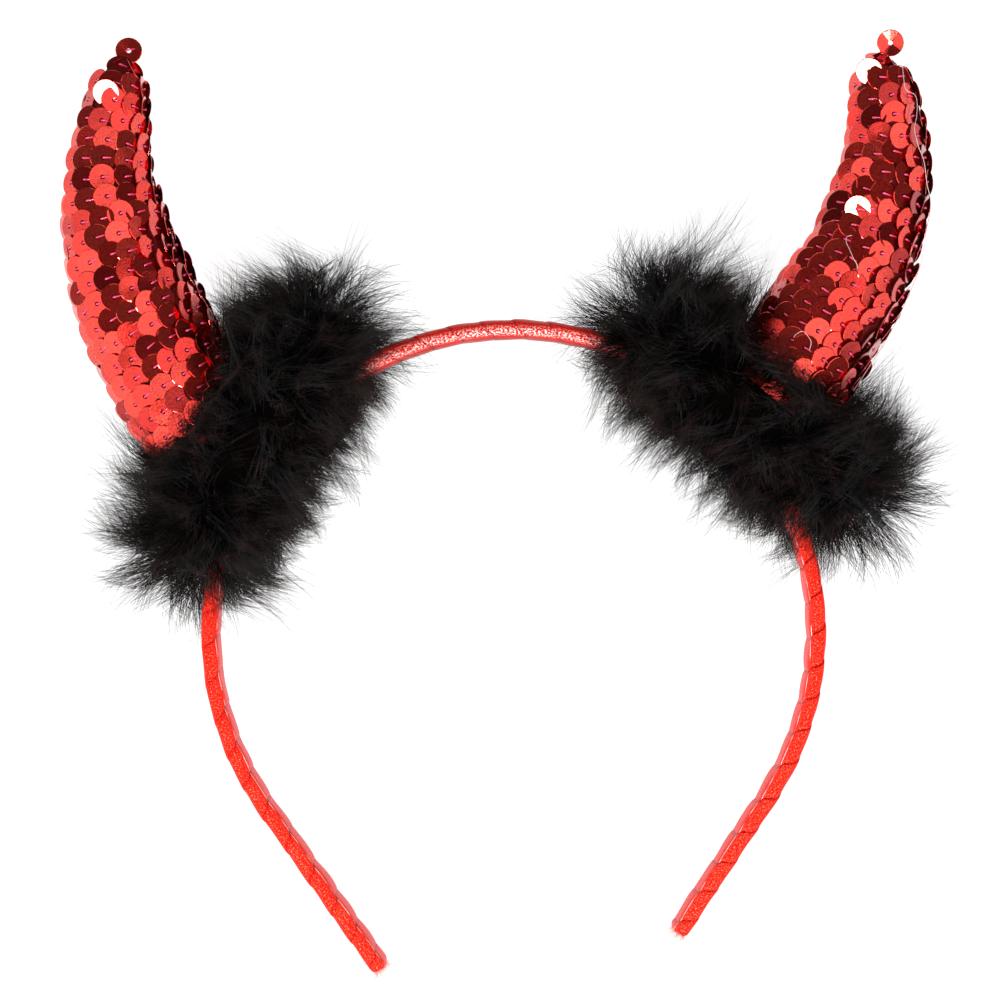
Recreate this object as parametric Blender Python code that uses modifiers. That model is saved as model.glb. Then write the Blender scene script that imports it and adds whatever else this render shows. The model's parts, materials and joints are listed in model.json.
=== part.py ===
"""Headband with two stuffed sequin horns, each standing in a loop of marabou.

The band is drawn in the plane of its loop: X to the wearer's side, Y from the open ends up to the
crown, Z out of the loop's face. The loop then leans back as it lies on a flat surface, held up by the
marabou under the horns and by the ends of the band. Lengths are in metres, angles in degrees.
"""

import math

import bmesh
import bpy
import numpy as np
from mathutils import Vector

# Band: a flat strip bent edge-on to a horseshoe and wrapped in satin ribbon
LOOP_RADIUS = 0.068
LEFT_ARC_ANGLE = 125.5
RIGHT_ARC_ANGLE = 123.6
LEFT_LEG = 0.0446
RIGHT_LEG = 0.0361
BAND_DEPTH = 0.0088
BAND_THICKNESS = 0.0034
BAND_CHAMFER = 0.0010
RIBBON_PITCH = 0.0080
RIBBON_EDGE = 0.0003
RIBBON_SLANT = 0.0015
RINGS_PER_TURN = 3
# The ends are rounded off: share of the rounding, then the section's scale there and at the very end
END_SHOULDER_SHARE = 0.35
END_SHOULDER_SCALE = 0.82
END_TIP_SCALE = 0.45

# Horns: stuffed, with their rows of sequins as steps
HORN_LENGTH = 0.100
HORN_THICKNESS = 0.0290
ROW_STEP = 0.0044
ROW_LIFT = 0.0006
# Shares of a row, from its upper edge, at which its sequins stand proud and at which they end
ROW_TOP_SHARE = 0.12
ROW_END_SHARE = 0.9
HORN_SIDES = 18
CURVE_STEPS = 12

# Where each horn stands: angle round the loop from the crown, and its tilt off the loop's normal
LEFT_SEAT_ANGLE = 56.6
RIGHT_SEAT_ANGLE = 48.9
LEFT_HORN_TILT = 3.5
RIGHT_HORN_TILT = 9.0

# Sequins standing on the tips
SEQUIN_DIAMETER = 0.0060
SEQUIN_THICKNESS = 0.0004
SEQUIN_CUP = 0.0007
SEQUIN_HOLE = 0.0011
SEQUIN_BEND_SHARE = 0.55
SEQUIN_SIDES = 16

# Marabou: a loop of boa pushed down round the foot of each horn
MARABOU_LENGTH = 0.082
MARABOU_WIDTH = 0.037
MARABOU_HEIGHT = 0.052
LYING_HEIGHT = 0.0245
BACKING_SHARE = 0.74
SHORT_LOCK_SHARE = 0.90
END_FULLNESS = 0.85
LOCK_LEAN = 0.0035
LOCK_SEED = 7
LEFT_SHIFT = 0.0044
LEFT_RISE = 0.0035
RIGHT_SHIFT = 0.0015
RIGHT_RISE = 0.0045

CLEARANCE = 0.0003
TUNNEL_SPANS = 60

# Middle line of each horn. Along: away from its foot. Across: towards the crown. Both are shares of
# the horn's length, and the radius is a share of half its thickness.
LEFT_HORN_TABLE = (
    # along, across, radius
    (0.00, 0.000, 0.98),
    (0.07, 0.000, 0.99),
    (0.15, 0.003, 1.00),
    (0.314, 0.071, 1.00),
    (0.423, 0.130, 0.98),
    (0.511, 0.191, 0.90),
    (0.588, 0.260, 0.79),
    (0.634, 0.310, 0.69),
    (0.677, 0.375, 0.60),
    (0.717, 0.444, 0.51),
    (0.746, 0.501, 0.40),
    (0.759, 0.536, 0.18),
)
RIGHT_HORN_TABLE = (
    # along, across, radius
    (0.00, 0.000, 0.96),
    (0.07, 0.000, 0.97),
    (0.155, 0.002, 0.97),
    (0.363, 0.031, 0.93),
    (0.451, 0.047, 0.86),
    (0.528, 0.079, 0.82),
    (0.592, 0.108, 0.74),
    (0.667, 0.159, 0.66),
    (0.727, 0.210, 0.57),
    (0.769, 0.254, 0.49),
    (0.797, 0.283, 0.38),
    (0.816, 0.292, 0.18),
)


def clear_scene():
    for thing in list(bpy.data.objects):
        bpy.data.objects.remove(thing, do_unlink=True)


def new_collection(name):
    collection = bpy.data.collections.new(name)
    bpy.context.scene.collection.children.link(collection)
    return collection


def make_material(name, color, roughness, metallic):
    material = bpy.data.materials.new(name)
    material.use_nodes = True
    shader = material.node_tree.nodes["Principled BSDF"]
    shader.inputs["Base Color"].default_value = (*color, 1.0)
    shader.inputs["Roughness"].default_value = roughness
    shader.inputs["Metallic"].default_value = metallic
    material.diffuse_color = (*color, 1.0)
    return material


def add_object(name, mesh, collection, parent, material=None):
    thing = bpy.data.objects.new(name, mesh)
    collection.objects.link(thing)
    thing.parent = parent
    if material:
        mesh.materials.append(material)
    return thing


def loft(name, rows):
    """A closed mesh through rings of points, with both end rings capped."""
    rows = np.asarray(rows)
    sides = rows.shape[1]
    bm = bmesh.new()
    rings = [[bm.verts.new(point) for point in row] for row in rows]
    for lower, upper in zip(rings, rings[1:]):
        for k in range(sides):
            after = (k + 1) % sides
            bm.faces.new((lower[k], lower[after], upper[after], upper[k]))
    bm.faces.new(rings[0][::-1])
    bm.faces.new(rings[-1])
    bmesh.ops.recalc_face_normals(bm, faces=bm.faces)
    bmesh.ops.triangulate(bm, faces=bm.faces)
    mesh = bpy.data.meshes.new(name)
    bm.to_mesh(mesh)
    bm.free()
    return mesh


def smooth(mesh, angle=40.0):
    mesh.shade_smooth()
    mesh.set_sharp_from_angle(angle=math.radians(angle))


def arc_length(side):
    """Length of the round stretch from the crown to where one leg runs straight."""
    return LOOP_RADIUS * math.radians(LEFT_ARC_ANGLE if side < 0 else RIGHT_ARC_ANGLE)


def band_frame(station):
    """Middle line of the band at a signed length from the crown: point and outward direction."""
    on_arc = max(-arc_length(-1), min(arc_length(1), station))
    angle = on_arc / LOOP_RADIUS
    outward = Vector((math.sin(angle), math.cos(angle), 0.0))
    forward = Vector((math.cos(angle), -math.sin(angle), 0.0))
    return outward * LOOP_RADIUS + forward * (station - on_arc), outward


def band_section(thickness, depth, chamfer):
    """Strip section with its corners cut off, as (outward, depth) pairs."""
    t = thickness / 2
    d = depth / 2
    c = chamfer
    return [(t, -d + c), (t, d - c), (t - c, d), (-t + c, d),
            (-t, d - c), (-t, -d + c), (-t + c, -d), (t - c, -d)]


def band_ring(station, lift, slant=0.0, scale=1.0):
    thickness = (BAND_THICKNESS + 2 * lift) * scale
    depth = (BAND_DEPTH + 2 * lift) * scale
    ring = []
    for out, deep in band_section(thickness, depth, BAND_CHAMFER * scale):
        shift = -slant * out / (thickness / 2)
        point, outward = band_frame(station + shift)
        ring.append(point + outward * out + Vector((0.0, 0.0, deep)))
    return ring


def band_ends():
    return -arc_length(-1) - LEFT_LEG, arc_length(1) + RIGHT_LEG


def make_band(collection, parent, material):
    """Each ribbon turn is a ring with a raised slanted edge, then the rings of the flat turn."""
    start, end = band_ends()
    rounding = BAND_THICKNESS / 2
    shoulder = rounding * END_SHOULDER_SHARE
    spacing = RIBBON_PITCH / RINGS_PER_TURN
    first = math.ceil((start + rounding) / spacing - 0.5) + 1
    last = math.floor((end - rounding) / spacing - 0.5) - 1
    rows = [band_ring(start, 0.0, scale=END_TIP_SCALE)]
    rows.append(band_ring(start + shoulder, 0.0, scale=END_SHOULDER_SCALE))
    rows.append(band_ring(start + rounding, 0.0))
    for index in range(first, last + 1):
        edge = index % RINGS_PER_TURN == 1
        lift = RIBBON_EDGE if edge else 0.0
        rows.append(band_ring((index + 0.5) * spacing, lift, RIBBON_SLANT if edge else 0.0))
    rows.append(band_ring(end - rounding, 0.0))
    rows.append(band_ring(end - shoulder, 0.0, scale=END_SHOULDER_SCALE))
    rows.append(band_ring(end, 0.0, scale=END_TIP_SCALE))
    mesh = loft("wrapped_band", rows)
    smooth(mesh)
    return add_object("wrapped_band", mesh, collection, parent, material)


def seat_frame(side):
    """Where a horn stands: point on the band's middle line, its axis, and the way to the crown."""
    angle = math.radians(LEFT_SEAT_ANGLE if side < 0 else RIGHT_SEAT_ANGLE)
    point, _ = band_frame(side * angle * LOOP_RADIUS)
    lean = angle - horn_tilt(side)
    axis = Vector((side * math.sin(lean), math.cos(lean), 0.0))
    to_crown = Vector((-side * math.cos(lean), math.sin(lean), 0.0))
    return point, axis, to_crown


def horn_tilt(side):
    return math.radians(LEFT_HORN_TILT if side < 0 else RIGHT_HORN_TILT)


def foot_height(side):
    """Height of a horn's flat foot over the band's middle line, where it just clears the ribbon."""
    bulge = LOOP_RADIUS * (1 - math.cos(horn_tilt(side)))
    return BAND_THICKNESS / 2 + RIBBON_EDGE + CLEARANCE + bulge


def spline(points, steps):
    """Smooth curve through the table's rows, with as many spans between two rows as steps says."""
    points = np.asarray(points, dtype=float)
    padded = np.vstack((2 * points[0] - points[1], points, 2 * points[-1] - points[-2]))
    t = np.arange(steps)[:, None] / steps
    pieces = []
    for p0, p1, p2, p3 in zip(padded, padded[1:], padded[2:], padded[3:]):
        pieces.append(0.5 * (2 * p1 + (p2 - p0) * t + (2 * p0 - 5 * p1 + 4 * p2 - p3) * t ** 2
                             + (3 * p1 - p0 - 3 * p2 + p3) * t ** 3))
    pieces.append(points[-1:])
    return np.vstack(pieces)


def horn_line(side):
    """Fine middle line of a horn: points, radii and length travelled."""
    table = np.array(LEFT_HORN_TABLE if side < 0 else RIGHT_HORN_TABLE)
    fine = spline(table, CURVE_STEPS)
    seat, axis, to_crown = seat_frame(side)
    foot = foot_height(side)
    along = foot + fine[:, 0] * HORN_LENGTH
    across = fine[:, 1] * HORN_LENGTH
    points = (np.array(seat) + along[:, None] * np.array(axis)
              + across[:, None] * np.array(to_crown))
    radii = fine[:, 2] * HORN_THICKNESS / 2
    steps = np.linalg.norm(np.diff(points, axis=0), axis=1)
    return points, radii, np.concatenate(([0.0], np.cumsum(steps)))


def horn_rings(side, stations, lifts):
    points, radii, travelled = horn_line(side)
    slopes = np.gradient(points, travelled, axis=0)
    rings = []
    for station, lift in zip(stations, lifts):
        centre = np.array([np.interp(station, travelled, points[:, k]) for k in range(3)])
        ahead = np.array([np.interp(station, travelled, slopes[:, k]) for k in range(3)])
        ahead /= np.linalg.norm(ahead)
        radius = np.interp(station, travelled, radii) + lift
        sideways = np.cross(ahead, (0.0, 0.0, 1.0))
        turn = np.linspace(0.0, 2 * math.pi, HORN_SIDES, endpoint=False)[:, None]
        rings.append(centre + radius * (np.cos(turn) * sideways + np.sin(turn) * (0.0, 0.0, 1.0)))
    return rings


def horn_steps(side):
    """Stations along a horn and the lift at each: a row of sequins stands proud on the tip's side."""
    length = horn_line(side)[2][-1]
    stations = [length]
    lifts = [-ROW_LIFT]
    for row in range(math.ceil(length / ROW_STEP) - 1):
        top = length - row * ROW_STEP
        stations += [top - ROW_STEP * ROW_TOP_SHARE, top - ROW_STEP * ROW_END_SHARE]
        lifts += [0.0, -ROW_LIFT]
    stations.append(0.0)
    lifts.append(-ROW_LIFT)
    return stations[::-1], lifts[::-1]


def make_horn(side, name, collection, parent, material):
    mesh = loft(name, horn_rings(side, *horn_steps(side)))
    smooth(mesh, 60.0)
    return add_object(name, mesh, collection, parent, material)


def make_tip_sequin(side, name, collection, parent, material):
    """A cupped ring of film turned about Z, standing on edge just past the horn's tip."""
    outer = SEQUIN_DIAMETER / 2
    hole = SEQUIN_HOLE / 2
    bend = outer * SEQUIN_BEND_SHARE
    half = SEQUIN_THICKNESS / 2
    profile = [(outer, SEQUIN_CUP + half), (outer, SEQUIN_CUP - half), (bend, -half),
               (hole, -half), (hole, half), (bend, half)]
    bm = bmesh.new()
    ring = [bm.verts.new((x, 0.0, z)) for x, z in profile]
    for a, b in zip(ring, ring[1:] + ring[:1]):
        bm.edges.new((a, b))
    mesh = bpy.data.meshes.new(name)
    bm.to_mesh(mesh)
    bm.free()
    sequin = add_object(name, mesh, collection, parent, material)
    screw = sequin.modifiers.new("turned", "SCREW")
    screw.angle = 2 * math.pi
    screw.steps = SEQUIN_SIDES
    screw.render_steps = SEQUIN_SIDES
    screw.use_merge_vertices = True
    screw.merge_threshold = 0.00001
    screw.use_normal_calculate = True
    points, _, _ = horn_line(side)
    ahead = Vector(points[-1] - points[-2]).normalized()
    sequin.location = Vector(points[-1]) + ahead * (outer + CLEARANCE)
    return sequin


def lying_tangent():
    """Slope of the loop as it lies: from the band's lower end to the marabou under the horns."""
    start, _ = band_ends()
    lower_end, _ = band_frame(start)
    middle = sum(marabou_frame(side)[0].y for side in (-1, 1)) / 2
    return (LYING_HEIGHT - BAND_DEPTH / 2) / (middle - lower_end.y)


def marabou_frame(side):
    seat, axis, to_crown = seat_frame(side)
    shift = LEFT_SHIFT if side < 0 else RIGHT_SHIFT
    rise = LEFT_RISE if side < 0 else RIGHT_RISE
    return seat + to_crown * shift + axis * rise, axis, to_crown


def floor_depth(y):
    """Depth below the loop's plane of the surface that the headband lies on."""
    lower_end, _ = band_frame(band_ends()[0])
    return BAND_DEPTH / 2 + (y - lower_end.y) * lying_tangent()


def lock_net():
    """A round net of triangles and, for each corner, whether a lock grows from it."""
    bm = bmesh.new()
    bmesh.ops.create_icosphere(bm, subdivisions=3, radius=1.0)
    grows = bm.verts.layers.int.new("grows")
    for vertex in bm.verts:
        vertex[grows] = 1
    split = bmesh.ops.subdivide_edges(bm, edges=bm.edges, cuts=1, use_grid_fill=True)
    for part in split["geom_inner"]:
        if isinstance(part, bmesh.types.BMVert):
            part[grows] = 0
            part.co.normalize()
    return bm, grows


def make_marabou(side, name, collection, parent, material, tunnels):
    """Locks drawn out of a rounded backing, then hollowed for the horn's foot and the band."""
    centre, axis, to_crown = marabou_frame(side)
    random = np.random.RandomState(LOCK_SEED + side)
    half = np.array((MARABOU_LENGTH, MARABOU_WIDTH, MARABOU_HEIGHT)) / 2
    bm, grows = lock_net()
    for vertex in bm.verts:
        spot = np.sign(vertex.co) * np.abs(vertex.co) ** END_FULLNESS * half
        if vertex[grows]:
            spot = spot * random.uniform(SHORT_LOCK_SHARE, 1.0) + random.uniform(-LOCK_LEAN, LOCK_LEAN, 3)
        else:
            spot = spot * BACKING_SHARE
        point = centre + to_crown * spot[0] + axis * spot[1] + Vector((0.0, 0.0, spot[2]))
        point.z = max(point.z, -floor_depth(point.y))
        vertex.co = point
    bmesh.ops.recalc_face_normals(bm, faces=bm.faces)
    mesh = bpy.data.meshes.new(name)
    bm.to_mesh(mesh)
    bm.free()
    marabou = add_object(name, mesh, collection, parent, material)
    for tunnel in tunnels:
        cut = marabou.modifiers.new("cut_" + tunnel.name, "BOOLEAN")
        cut.operation = "DIFFERENCE"
        cut.object = tunnel
        cut.solver = "EXACT"
        cut.use_self = True
    keep_largest_piece(marabou)
    return marabou


def keep_largest_piece(thing):
    """Applies an object's modifiers and drops the loose bits that a cut has left."""
    bpy.context.view_layer.update()
    shown = thing.evaluated_get(bpy.context.evaluated_depsgraph_get())
    mesh = bpy.data.meshes.new_from_object(shown)
    thing.modifiers.clear()
    bm = bmesh.new()
    bm.from_mesh(mesh)
    left = set(bm.verts)
    pieces = []
    while left:
        piece = {left.pop()}
        edge_of_piece = list(piece)
        while edge_of_piece:
            vertex = edge_of_piece.pop()
            for edge in vertex.link_edges:
                other = edge.other_vert(vertex)
                if other in left:
                    left.remove(other)
                    piece.add(other)
                    edge_of_piece.append(other)
        pieces.append(piece)
    pieces.sort(key=len)
    for piece in pieces[:-1]:
        bmesh.ops.delete(bm, geom=list(piece), context="VERTS")
    bm.to_mesh(mesh)
    bm.free()
    thing.data = mesh


def make_cutter(name, rows, cutters, parent):
    cutter = add_object(name, loft(name, rows), cutters, parent)
    cutter.hide_render = True
    cutter.display_type = "WIRE"
    return cutter


def horn_cutter_rows(side):
    stations, _ = horn_steps(side)
    rings = horn_rings(side, stations, [CLEARANCE] * len(stations))
    foot = np.array(seat_frame(side)[1]) * (CLEARANCE * 2)
    return [rings[0] - foot] + rings


def band_cutter_rows():
    start, end = band_ends()
    grow = RIBBON_EDGE + CLEARANCE
    span = (end - start) / TUNNEL_SPANS
    return [band_ring(start + span * k, grow) for k in range(TUNNEL_SPANS + 1)]


def lay_down(loop, parts):
    """Moves the leaning loop so that its box stands centred on the origin."""
    depsgraph = bpy.context.evaluated_depsgraph_get()
    corners = []
    for thing in parts.objects:
        if thing.type == "MESH":
            shown = thing.evaluated_get(depsgraph)
            corners += [shown.matrix_world @ vertex.co for vertex in shown.data.vertices]
    low = [min(corner[k] for corner in corners) for k in range(3)]
    high = [max(corner[k] for corner in corners) for k in range(3)]
    loop.location = (-(low[0] + high[0]) / 2, -(low[1] + high[1]) / 2, -low[2])


def main():
    clear_scene()
    parts = new_collection("devil_horns_headband")
    cutters = new_collection("cutters")
    satin = make_material("red_satin", (0.78, 0.05, 0.03), 0.45, 0.0)
    sequin_red = make_material("red_sequins", (0.62, 0.02, 0.02), 0.25, 0.8)
    feather = make_material("black_marabou", (0.01, 0.01, 0.01), 0.8, 0.0)
    loop = bpy.data.objects.new("loop_plane", None)
    parts.objects.link(loop)
    make_band(parts, loop, satin)
    band_cutter = make_cutter("band_tunnel", band_cutter_rows(), cutters, loop)
    for side, word in ((-1, "left"), (1, "right")):
        make_horn(side, word + "_horn", parts, loop, sequin_red)
        make_tip_sequin(side, word + "_tip_sequin", parts, loop, sequin_red)
        horn_cutter = make_cutter(word + "_horn_socket", horn_cutter_rows(side), cutters, loop)
        make_marabou(side, word + "_marabou", parts, loop, feather, (horn_cutter, band_cutter))
    loop.rotation_euler = (math.atan(lying_tangent()), 0.0, 0.0)
    bpy.context.view_layer.update()
    lay_down(loop, parts)


main()
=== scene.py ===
import json
import math
import bmesh
import bpy
import numpy as np
from mathutils import Matrix


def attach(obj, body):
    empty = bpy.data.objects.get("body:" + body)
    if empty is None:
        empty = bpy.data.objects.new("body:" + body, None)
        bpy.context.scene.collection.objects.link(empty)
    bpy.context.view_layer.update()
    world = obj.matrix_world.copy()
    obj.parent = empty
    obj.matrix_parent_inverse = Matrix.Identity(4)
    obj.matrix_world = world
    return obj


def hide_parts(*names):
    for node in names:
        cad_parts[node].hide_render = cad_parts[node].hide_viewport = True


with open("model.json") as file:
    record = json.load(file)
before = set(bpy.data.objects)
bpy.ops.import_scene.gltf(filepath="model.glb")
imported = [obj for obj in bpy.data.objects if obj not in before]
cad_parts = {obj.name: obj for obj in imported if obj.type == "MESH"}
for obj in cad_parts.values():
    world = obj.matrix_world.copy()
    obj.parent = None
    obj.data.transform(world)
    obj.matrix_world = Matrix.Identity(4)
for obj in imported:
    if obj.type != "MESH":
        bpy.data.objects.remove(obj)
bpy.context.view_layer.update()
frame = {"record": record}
mm = 0.001

# The loop as it lies: its plane leans back, and the crown's mount gives the lean and the place
loop = {
    "radius": 68.0 * mm,          # of the band's middle line
    "leftArc": 125.5,             # degrees from the crown to the straight leg
    "rightArc": 123.6,
    "leftLeg": 44.6 * mm,
    "rightLeg": 36.1 * mm,
    "thickness": 3.4 * mm,
    "depth": 8.8 * mm,
    "facetHalfAngle": 1.1235,     # degrees, half of the flat facet at the crown
}
crownMount = [m for m in frame["record"]["mounts"] if m["name"] == "crown_rest"][0]
loopX = np.array((1.0, 0.0, 0.0))
loopY = -np.array(crownMount["axis"])
loopZ = np.cross(loopX, loopY)
crownInner = loop["radius"] * math.cos(math.radians(loop["facetHalfAngle"])) - loop["thickness"] / 2
loopOrigin = np.array(crownMount["pos_m"]) - loopY * crownInner
loopAxes = np.array((loopX, loopY, loopZ))


def toWorld(points):
    # loop coordinates (across, up to the crown, out of the face) to the frame's
    return loopOrigin + np.asarray(points) @ loopAxes


def toLoop(points):
    return (np.asarray(points) - loopOrigin) @ loopAxes.T


# Small helpers for meshes and materials

def linear(hexColor):
    # sRGB hex to linear: divide by 12.92 near black, else the 2.4 power curve
    channels = [int(hexColor[i:i + 2], 16) / 255 for i in (1, 3, 5)]
    return tuple(c / 12.92 if c <= 0.04045 else ((c + 0.055) / 1.055) ** 2.4 for c in channels) + (1.0,)


def meshPiece(name, points, faces, material, smoothShade=True):
    # points (n, 3); faces (m, 3) or (m, 4) corner numbers, all faces alike
    mesh = bpy.data.meshes.new(name)
    faces = np.asarray(faces, dtype=np.int32)
    corners = faces.shape[1]
    mesh.vertices.add(len(points))
    mesh.vertices.foreach_set("co", np.asarray(points, dtype=np.float32).ravel())
    mesh.loops.add(faces.size)
    mesh.loops.foreach_set("vertex_index", faces.ravel())
    mesh.polygons.add(len(faces))
    mesh.polygons.foreach_set("loop_start", np.arange(0, faces.size, corners, dtype=np.int32))
    mesh.update(calc_edges=True)
    mesh.validate()
    mesh.polygons.foreach_set("use_smooth", np.full(len(faces), smoothShade))
    mesh.materials.append(material)
    piece = bpy.data.objects.new(name, mesh)
    bpy.context.scene.collection.objects.link(piece)
    return piece


def giveAttribute(piece, name, values):
    layer = piece.data.attributes.new(name, "FLOAT", "POINT")
    layer.data.foreach_set("value", np.asarray(values, dtype=np.float32).ravel())


def gridFaces(rows, columns, closedRows=False):
    # quads of a grid whose columns run round and close; rows close too on a ring
    last = rows if closedRows else rows - 1
    i, j = np.meshgrid(np.arange(last), np.arange(columns), indexing="ij")
    up = (i + 1) % rows
    over = (j + 1) % columns
    faces = np.stack((i * columns + j, i * columns + over, up * columns + over, up * columns + j), -1)
    return faces.reshape(-1, 4)


def addNode(tree, kind, settings=None, links=None):
    # one node with its settings (inputs or properties by name) and what is linked into it
    node = tree.nodes.new(kind)
    for key, value in (settings or {}).items():
        if key in node.inputs:
            node.inputs[key].default_value = value
        else:
            setattr(node, key, value)
    for key, source in (links or {}).items():
        tree.links.new(source, node.inputs[key])
    return node


def newMaterial(name, settings):
    material = bpy.data.materials.new(name)
    material.use_nodes = True
    tree = material.node_tree
    shader = tree.nodes["Principled BSDF"]
    for key, value in settings.items():
        shader.inputs[key].default_value = value
    return material, tree, shader


def ramp(tree, source, stops):
    # colour ramp through (place, hex) stops
    node = addNode(tree, "ShaderNodeValToRGB", links={"Fac": source})
    elements = node.color_ramp.elements
    while len(elements) < len(stops):
        elements.new(0.5)
    for element, (place, hexColor) in zip(elements, stops):
        element.position = place
        element.color = linear(hexColor)
    return node.outputs["Color"]


def noise(tree, scale, detail=2.0, vector=None):
    where = vector or addNode(tree, "ShaderNodeTexCoord").outputs["Object"]
    return addNode(tree, "ShaderNodeTexNoise", {"Scale": scale, "Detail": detail},
                   {"Vector": where}).outputs["Fac"]


def bump(tree, height, distance, strength=1.0):
    return addNode(tree, "ShaderNodeBump", {"Distance": distance, "Strength": strength},
                   {"Height": height}).outputs["Normal"]


def curve(tree, source, stops):
    # grey ramp through (place, value) stops
    greys = [(place, "#" + "%02X" % round(value * 255) * 3) for place, value in stops]
    return ramp(tree, source, greys)


def mixColor(tree, share, first, second, kind="MIX"):
    # a Mix node takes its factor at socket 0 and its two colours at 6 and 7, and gives one at 2
    node = addNode(tree, "ShaderNodeMix", {"data_type": "RGBA", "blend_type": kind})
    for place, source in ((0, share), (6, first), (7, second)):
        if isinstance(source, (tuple, float)):
            node.inputs[place].default_value = source
        else:
            tree.links.new(source, node.inputs[place])
    return node.outputs[2]


def calculate(tree, kind, first, second):
    node = addNode(tree, "ShaderNodeMath", {"operation": kind})
    for place, source in enumerate((first, second)):
        if isinstance(source, float):
            node.inputs[place].default_value = source
        else:
            tree.links.new(source, node.inputs[place])
    return node.outputs[0]


# Small helpers for shapes

def unit(ways):
    return ways / (np.linalg.norm(ways, axis=-1, keepdims=True) + 1e-9)


def turnAbout(axis, vectors, degrees):
    # Rodrigues' turn of each vector about its own axis
    angle = np.radians(degrees)[..., None]
    return (vectors * np.cos(angle) + np.cross(axis, vectors) * np.sin(angle)
            + axis * (axis * vectors).sum(-1, keepdims=True) * (1 - np.cos(angle)))


def smoothRows(table, steps):
    # uniform cubic through a table's rows
    padded = np.vstack((2 * table[0] - table[1], table, 2 * table[-1] - table[-2]))
    t = np.arange(steps)[None, :, None] / steps
    p0, p1, p2, p3 = (padded[k:len(padded) - 3 + k][:, None, :] for k in range(4))
    fine = 0.5 * (2 * p1 + (p2 - p0) * t + (2 * p0 - 5 * p1 + 4 * p2 - p3) * t ** 2
                  + (3 * p1 - p0 - 3 * p2 + p3) * t ** 3)
    return np.vstack((fine.reshape(-1, table.shape[1]), table[-1:]))


# Camera and studio

view = {
    "distance": 500.0 * mm,       # lens to the loop's plane
    "frameWidth": 225.0 * mm,     # what the picture's width spans there
    "aim": (-3.04 * mm, 29.7 * mm),  # middle of the picture, in the loop's plane
    "sensor": 36.0,
}
studio = {
    "worldGrey": 0.12,
    "floor": "#6E6E6E",           # it glows as well, so that it shows white with hardly any shadow
    "floorGlow": 0.95,
    # name: size, power, direction from the loop (degrees to the right, degrees to the crown), distance
    "lights": {
        "left_softbox": ((0.78, 1.25), 5.3, (-61.0, -14.0), 0.90),
        "right_softbox": ((1.02, 1.25), 6.9, (31.0, -14.0), 0.90),
        "low_strip": ((0.70, 0.05), 9.0, (0.0, -42.0), 0.90),
        "high_softbox": ((0.90, 0.35), 0.9, (0.0, 62.0), 0.90),
        "lamp": ((0.12, 0.12), 2.6, (-19.0, -16.0), 0.85),
    },
}


def towards(direction):
    # unit way in the loop's axes from degrees to the right and degrees to the crown
    right, up = np.radians(direction)
    return np.array((math.sin(right) * math.cos(up), math.sin(up), math.cos(right) * math.cos(up)))


def placeTowards(thing, spot, target):
    thing.location = spot
    # a camera or light looks down its own -Z, with the crown's direction up
    ahead = unit(np.asarray(target) - np.asarray(spot))
    side = unit(np.cross(ahead, loopY))
    up = np.cross(side, ahead)
    turn = Matrix((side, up, -ahead)).transposed()
    thing.rotation_euler = turn.to_euler()


def makeCamera():
    data = bpy.data.cameras.new("camera")
    data.sensor_width = view["sensor"]
    data.lens = view["sensor"] * view["distance"] / view["frameWidth"]
    data.clip_start = 0.01
    camera = bpy.data.objects.new("camera", data)
    bpy.context.scene.collection.objects.link(camera)
    target = toWorld((*view["aim"], 0.0))
    placeTowards(camera, target + loopZ * view["distance"], target)
    bpy.context.scene.camera = camera


def makeLight(name, size, power, direction, distance):
    data = bpy.data.lights.new(name, "AREA")
    data.shape = "RECTANGLE"
    data.size, data.size_y = size
    data.energy = power
    light = bpy.data.objects.new(name, data)
    bpy.context.scene.collection.objects.link(light)
    placeTowards(light, toWorld(towards(direction) * distance), toWorld((0.0, 0.0, 0.0)))


def makeStudio():
    scene = bpy.context.scene
    scene.view_settings.view_transform = "Standard"
    scene.view_settings.look = "None"
    world = bpy.data.worlds.new("studio")
    world.use_nodes = True
    scene.world = world
    back = world.node_tree.nodes["Background"]
    back.inputs["Color"].default_value = (1.0, 1.0, 1.0, 1.0)
    back.inputs["Strength"].default_value = studio["worldGrey"]
    for name, settings in studio["lights"].items():
        makeLight(name, *settings)
    # plain white floor, lit until it is nearly clear of shadow
    material = newMaterial("white_paper_floor", {
        "Base Color": linear(studio["floor"]), "Roughness": 0.9,
        "Emission Color": (1.0, 1.0, 1.0, 1.0), "Emission Strength": studio["floorGlow"]})[0]
    half = 4.0
    floor = meshPiece("floor", [(-half, -half, 0), (half, -half, 0), (half, half, 0), (-half, half, 0)],
                      [(0, 1, 2, 3)], material, False)
    print("camera and studio ready")


# Band: a strip wound with satin ribbon

ribbon = {
    "pitch": 8.0 * mm,            # along the band, from one turn to the next
    "swell": 0.15 * mm,           # what the ribbon adds to each half of the section
    "crownSwell": 0.35 * mm,      # and how much more at the crown, where the turns crowd
    "edgeHeight": 0.14 * mm,      # how far a turn's edge stands over the turn before
    "edgeRun": 0.10,              # share of a turn in which it steps down
    "lump": 0.10 * mm,            # slow unevenness of the winding
    "pillow": 0.50 * mm,          # each turn bulges this far on the inner side
    "rows": 760,
    "columns": 32,
    "crownCorner": 2.5,           # roundness of the section: 2 is an ellipse, more is squarer
    "legCorner": 5.5,
    "red": "#F01D0C",
    "deepRed": "#D8120A",
    "paleRed": "#FF6C59",         # threads that lie proud
    # painted shade: the dark line beside each turn's edge, and the darker inner side at the crown
    "paintedShade": "#8E0806",
    "paintedHighlight": "#FFE4DE",            # painted highlight: the pale line along the inner front corner where the satin folds, and the crown's pale streak
    "sparkle": 0.50 * mm,         # size of the painted sparkles in the crown's highlight streak
    "grain": 0.32 * mm,           # of the weave, drawn coarser than it is so that it shows
}


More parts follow.
